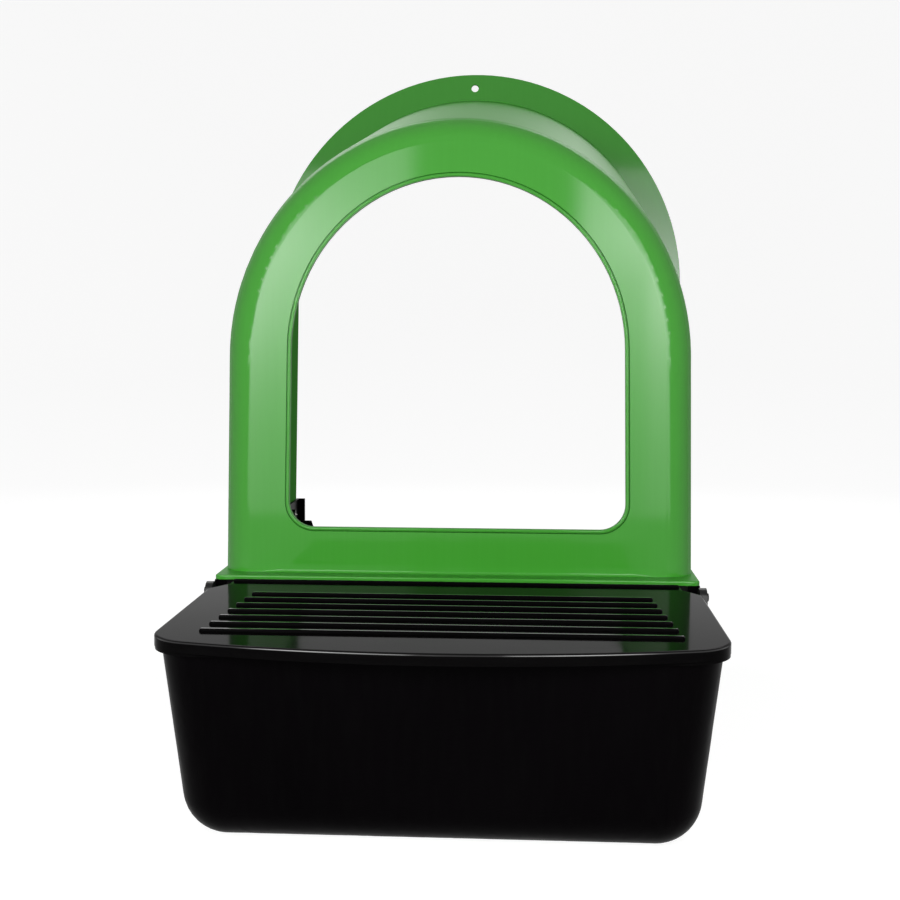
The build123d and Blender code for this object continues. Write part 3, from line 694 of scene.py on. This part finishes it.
def makeRibBeads(shape):
    # section: y = w(x) * u, z = height * share(x) * (1 - |u|^power)^(1 / power), where u runs from -1 to 1;
    # past the straight part the share falls as the square root of 1 - (overrun / half-width)^2
    allPoints, allFaces = [], []
    half = shape["width"] / 2
    turn = np.linspace(0, math.pi, shape["sides"])
    crown = (1 - np.abs(np.cos(turn)) ** shape["power"]) ** (1 / shape["power"])
    for middle, reach, base in ribPlaces(shape):
        straight = reach - half
        bend = np.linspace(math.pi / 2, 0, shape["endSteps"], endpoint=False)[1:]
        end = straight + half * np.sin(bend)
        x = np.concatenate((-end, np.linspace(-straight, straight, shape["lengthSteps"]), end[::-1]))
        share = np.sqrt(np.clip(1 - (np.clip(np.abs(x) - straight, 0, half) / half) ** 2, 0, 1))
        y = middle - half * np.outer(share, np.cos(turn))
        z = base + shape["height"] * np.outer(share, crown)
        rings = np.stack((np.repeat(x[:, None], len(turn), 1), y, z), -1).reshape(-1, 3)
        offset = sum(len(points) for points in allPoints)
        allPoints.append(np.vstack(([[-reach, middle, base]], rings, [[reach, middle, base]])))
        allFaces += [[index + offset for index in face] for face in ringFaces(len(x), len(turn))]
    beads = makePiece("lidRibBeads", np.vstack(allPoints), allFaces)
    finishPiece(beads, "ribBlack", "lid")


# foot fillet: the hollow sweep from the hood's face down to the top of its front lip
filletShape = {
    "radius": 0.0022, "leastRadius": 0.00005, "halfLength": 0.1466, "fadeLength": 0.022, "lipTop": 0.1214,
    "sunk": 0.0003, "steps": 96, "sides": 14,
}


def makeFootFillet(shape):
    # section at x: a quarter circle of radius r(x), from the face down to the lip, closed inside the hood;
    # the radius fades towards both ends
    x = np.linspace(shape["halfLength"], -shape["halfLength"], shape["steps"])[1:-1]
    radius = shape["radius"] * smoothStep(shape["halfLength"] - np.abs(x), 0.0, shape["fadeLength"])
    radius = np.maximum(radius, shape["leastRadius"])[:, None]
    turn = np.linspace(0, math.pi / 2, shape["sides"])
    y = beadShape["face"] - radius * (1 - np.cos(turn))
    z = shape["lipTop"] + radius * (1 - np.sin(turn))
    sunk = np.full_like(radius, shape["sunk"])
    y = np.hstack((y + sunk * (turn == 0), np.full_like(radius, beadShape["face"]) + sunk))
    z = np.hstack((z - sunk * (turn == turn[-1]), np.full_like(radius, shape["lipTop"]) - sunk))
    rings = np.stack((np.broadcast_to(x[:, None], y.shape), y, z), -1).reshape(-1, 3)
    end = np.array([shape["halfLength"], beadShape["face"], shape["lipTop"]])
    points = np.vstack((end, rings, end * (-1, 1, 1)))
    faces = ringFaces(len(x), shape["sides"] + 1)
    fillet = makePiece("hoodFootFillet", points, faces)
    finishPiece(fillet, "hoodGreen", "base")


makeEntranceTrim(beadShape, grooveShadeStripShape)
makeFootFillet(filletShape)
makeRibBeads(ribShape)
print("trim made")


# stage: one pale floor that sweeps up into a round wall
stageSettings = {
    "flatRadius": 2.2, "sweepRadius": 0.9, "wallTop": 3.2, "sides": 96, "sweepSteps": 12,
    "colour": (0.28, 0.28, 0.28), "glow": 0.90,
}


def makeStage(settings):
    # profile of radius and height, carried round Z: flat disc, quarter circle, upright wall
    angle = np.linspace(0, math.pi / 2, settings["sweepSteps"])
    radius = np.concatenate(([0.0], settings["flatRadius"] + settings["sweepRadius"] * np.sin(angle),
                             [settings["flatRadius"] + settings["sweepRadius"]]))
    height = np.concatenate(([0.0], settings["sweepRadius"] * (1 - np.cos(angle)), [settings["wallTop"]]))
    turn = np.linspace(0, 2 * math.pi, settings["sides"], endpoint=False)
    ring = np.stack((np.outer(radius[1:], np.cos(turn)), np.outer(radius[1:], np.sin(turn)),
                     np.repeat(height[1:, None], len(turn), 1)), -1).reshape(-1, 3)
    points = np.vstack(([[0, 0, 0]], ring))
    faces = ringFaces(len(radius) - 1, len(turn))[:-len(turn)]
    mesh = bpy.data.meshes.new("stageFloor")
    mesh.from_pydata(points.tolist(), [], faces)
    mesh.polygons.foreach_set("use_smooth", np.ones(len(faces), bool))
    floor = bpy.data.objects.new("stageFloor", mesh)
    bpy.context.scene.collection.objects.link(floor)
    return floor


def lightPathMask(tree, place):
    # 1 for camera, glossy and transmission rays, else 0
    path = addNode(tree, "ShaderNodeLightPath", place)
    seen = mathNode(tree, "MAXIMUM", path.outputs["Is Camera Ray"], path.outputs["Is Glossy Ray"],
                    (place[0] + 200, place[1]))
    return mathNode(tree, "MAXIMUM", seen, path.outputs["Is Transmission Ray"], (place[0] + 380, place[1]))


def stageMaterial(settings):
    material = bpy.data.materials.new("stagePaper")
    material.use_nodes = True
    tree = material.node_tree
    tree.nodes.clear()
    out = addNode(tree, "ShaderNodeOutputMaterial", (700, 0))
    diffuse = addNode(tree, "ShaderNodeBsdfDiffuse", (100, 100))
    diffuse.inputs["Color"].default_value = (*settings["colour"], 1)
    glow = addNode(tree, "ShaderNodeEmission", (100, -100))
    both = addNode(tree, "ShaderNodeAddShader", (450, 0))
    strength = mathNode(tree, "MULTIPLY", lightPathMask(tree, (-700, -100)), settings["glow"], (-100, -100))
    feed(tree, strength, glow.inputs["Strength"])
    feed(tree, diffuse.outputs[0], both.inputs[0])
    feed(tree, glow.outputs[0], both.inputs[1])
    feed(tree, both.outputs[0], out.inputs["Surface"])
    return material


stageFloor = makeStage(stageSettings)
stageFloor.data.materials.append(stageMaterial(stageSettings))


# light: two soft boxes in front, brighter in the middle, with a small faint one between them, and weak
# lamps behind for the other sides
boxSettings = {
    # x and z between which each box stands on the plane boxPlane; its brightest place, edge and extra
    # radiance; the x on whose inner side it is dimmer, and by how much
    "leftBox": {"across": (-0.626, -0.089), "upright": (0.0625, 0.70), "hot": (-0.406, 0.44), "edge": 3.6,
                "extra": 12.2, "inner": -0.340, "dim": 0.18},
    "rightBox": {"across": (0.115, 0.60), "upright": (0.0625, 0.70), "hot": (0.327, 0.44), "edge": 3.5,
                 "extra": 11.0, "inner": 0.238, "dim": 0.40},
    "lowFront": {"across": (-0.096, 0.017), "upright": (0.192, 0.275), "hot": (-0.04, 0.23), "edge": 8.0,
                 "extra": 0.0, "inner": 0.0, "dim": 0.0},
}
boxPlane = -0.95
hotSpread = (0.21, 0.145)
# towards the floor: the heights between which a box comes up to full strength, and its least share
lowFade = {"from": 0.0, "to": 0.26, "least": 0.5}
# the dim inner side: half the width of its soft edge, and the heights between which it ends
innerFade = {"soft": 0.012, "from": 0.38, "to": 0.50}
# how wide each box's inner and outer sides fade
sideFade = {"inner": 0.04, "outer": 0.12}
backSettings = {
    # azimuth from straight ahead and elevation in degrees, distance and size in metres
    "backLeft": {"azimuth": -150, "elevation": 42, "distance": 2.1, "size": 1.0, "radiance": 3.2},
    "backRight": {"azimuth": 150, "elevation": 42, "distance": 2.1, "size": 1.0, "radiance": 3.2},
}


def addLamp(name, centre, right, up, width, height, radiance):
    # a rectangle that shines the other way from the cross product of right and up
    light = bpy.data.lights.new(name, "AREA")
    light.shape = "RECTANGLE"
    light.size, light.size_y = width, height
    light.energy = radiance * math.pi * width * height
    lamp = bpy.data.objects.new(name, light)
    turned = Matrix((right, up, right.cross(up))).transposed().to_4x4()
    lamp.matrix_world = Matrix.Translation(centre) @ turned
    lamp.visible_camera = False
    bpy.context.scene.collection.objects.link(lamp)
    return lamp


def shadeBox(light, settings):
    # radiance = edge + extra * exp(-((x - hot x) / spread)^2 - ((z - hot z) / spread)^2), less towards the
    # floor, on the low inner side, and at the two sides
    light.use_nodes = True
    tree = light.node_tree
    tree.nodes.clear()
    out = addNode(tree, "ShaderNodeOutputLight", (1200, 0))
    glow = addNode(tree, "ShaderNodeEmission", (1000, 0))
    position = addNode(tree, "ShaderNodeNewGeometry", (-900, 0)).outputs["Position"]
    place = splitVector(tree, position, (-700, 0))
    aside = mathNode(tree, "ABSOLUTE", place["X"], 0.0, (-500, -450))
    squares = []
    for axis, hot, spread in zip("XZ", settings["hot"], hotSpread):
        away = mathNode(tree, "SUBTRACT", place[axis], hot, (-500, 0))
        share = mathNode(tree, "DIVIDE", away, spread, (-350, 0))
        squares.append(mathNode(tree, "MULTIPLY", share, share, (-200, 0)))
    total = mathNode(tree, "ADD", squares[0], squares[1], (0, 0))
    fall = mathNode(tree, "EXPONENT", mathNode(tree, "MULTIPLY", total, -1.0, (120, 0)), 0.0, (240, 0))
    shine = mathNode(tree, "MULTIPLY", fall, settings["extra"], (360, 0))
    plain = mathNode(tree, "ADD", shine, settings["edge"], (480, 0))
    rise = eased(tree, place["Z"], lowFade["from"], lowFade["to"], (0, -250))
    risen = mathNode(tree, "MULTIPLY", rise, 1 - lowFade["least"], (160, -250))
    low = mathNode(tree, "ADD", risen, lowFade["least"], (320, -250))
    inner, soft = abs(settings["inner"]), innerFade["soft"]
    outside = eased(tree, aside, inner - soft, inner + soft, (0, -450))
    upper = eased(tree, place["Z"], innerFade["from"], innerFade["to"], (0, -650))
    bright = mathNode(tree, "MAXIMUM", outside, upper, (200, -550))
    dimmed = mathNode(tree, "SUBTRACT", 1.0, bright, (360, -550))
    loss = mathNode(tree, "MULTIPLY", dimmed, settings["dim"], (520, -550))
    kept = mathNode(tree, "SUBTRACT", 1.0, loss, (680, -550))
    nearest, farthest = sorted(abs(side) for side in settings["across"])
    sides = mathNode(tree, "MULTIPLY", eased(tree, aside, nearest, nearest + sideFade["inner"], (0, -850)),
                     eased(tree, aside, farthest, farthest - sideFade["outer"], (0, -1050)), (200, -950))
    strength = mathNode(tree, "MULTIPLY", plain, low, (640, 0))
    for share in (kept, sides):
        strength = mathNode(tree, "MULTIPLY", strength, share, (820, 0))
    feed(tree, strength, glow.inputs["Strength"])
    feed(tree, glow.outputs[0], out.inputs["Surface"])


def addSoftBoxes():
    # unit lamps on the plane in front of the hood, facing +Y; their nodes give the radiance
    for name, settings in boxSettings.items():
        (left, right), (low, high) = settings["across"], settings["upright"]
        centre = ((left + right) / 2, boxPlane, (low + high) / 2)
        lamp = addLamp(name, centre, Vector((1, 0, 0)), Vector((0, 0, 1)), right - left, high - low, 1.0)
        shadeBox(lamp.data, settings)


def addBackLamps():
    # square lamps behind the wall plane, aimed at the middle of the object
    aim = Vector((cadLow + cadHigh) / 2)
    for name, settings in backSettings.items():
        turn, tilt = math.radians(settings["azimuth"]), math.radians(settings["elevation"])
        away = Vector((math.sin(turn) * math.cos(tilt), -math.cos(turn) * math.cos(tilt), math.sin(tilt)))
        right = Vector((0, 0, 1)).cross(away).normalized()
        addLamp(name, aim + settings["distance"] * away, right, away.cross(right), settings["size"],
                settings["size"], settings["radiance"])


addSoftBoxes()
addBackLamps()

worldSettings = {"ambient": 0.13, "seen": 1.0}


def makeWorld(settings):
    world = bpy.data.worlds.new("studio")
    bpy.context.scene.world = world
    world.use_nodes = True
    tree = world.node_tree
    tree.nodes.clear()
    out = addNode(tree, "ShaderNodeOutputWorld", (500, 0))
    sky = addNode(tree, "ShaderNodeBackground", (250, 0))
    mask = lightPathMask(tree, (-600, 0))
    extra = mathNode(tree, "MULTIPLY", mask, settings["seen"] - settings["ambient"], (-50, 0))
    strength = mathNode(tree, "ADD", extra, settings["ambient"], (100, 0))
    feed(tree, strength, sky.inputs["Strength"])
    feed(tree, sky.outputs[0], out.inputs["Surface"])


makeWorld(worldSettings)
print("stage and lights placed")


# camera: solved from the photograph's vanishing points and the mirror image in the lid
cameraSettings = {
    "place": (0.0391, -0.8738, 0.2561), "yaw": 0.0536, "pitch": 0.0561, "roll": 0.0049,
    "lens": 46.0, "sensor": 36.0,
}


def addCamera(settings):
    # yaw turns left, pitch turns down, roll lifts the right side
    yaw, pitch, roll = settings["yaw"], settings["pitch"], settings["roll"]
    forward = Vector((-math.sin(yaw) * math.cos(pitch), math.cos(yaw) * math.cos(pitch), -math.sin(pitch)))
    level = Vector((math.cos(yaw), math.sin(yaw), 0))
    upright = level.cross(forward)
    right = level * math.cos(roll) + upright * math.sin(roll)
    up = upright * math.cos(roll) - level * math.sin(roll)
    data = bpy.data.cameras.new("photoCamera")
    data.sensor_fit = "HORIZONTAL"
    data.lens, data.sensor_width = settings["lens"], settings["sensor"]
    data.clip_start, data.clip_end = 0.01, 50
    camera = bpy.data.objects.new("photoCamera", data)
    turned = Matrix((right, up, -forward)).transposed().to_4x4()
    camera.matrix_world = Matrix.Translation(settings["place"]) @ turned
    bpy.context.scene.collection.objects.link(camera)
    bpy.context.scene.camera = camera


addCamera(cameraSettings)
bpy.context.scene.view_settings.view_transform = "Standard"
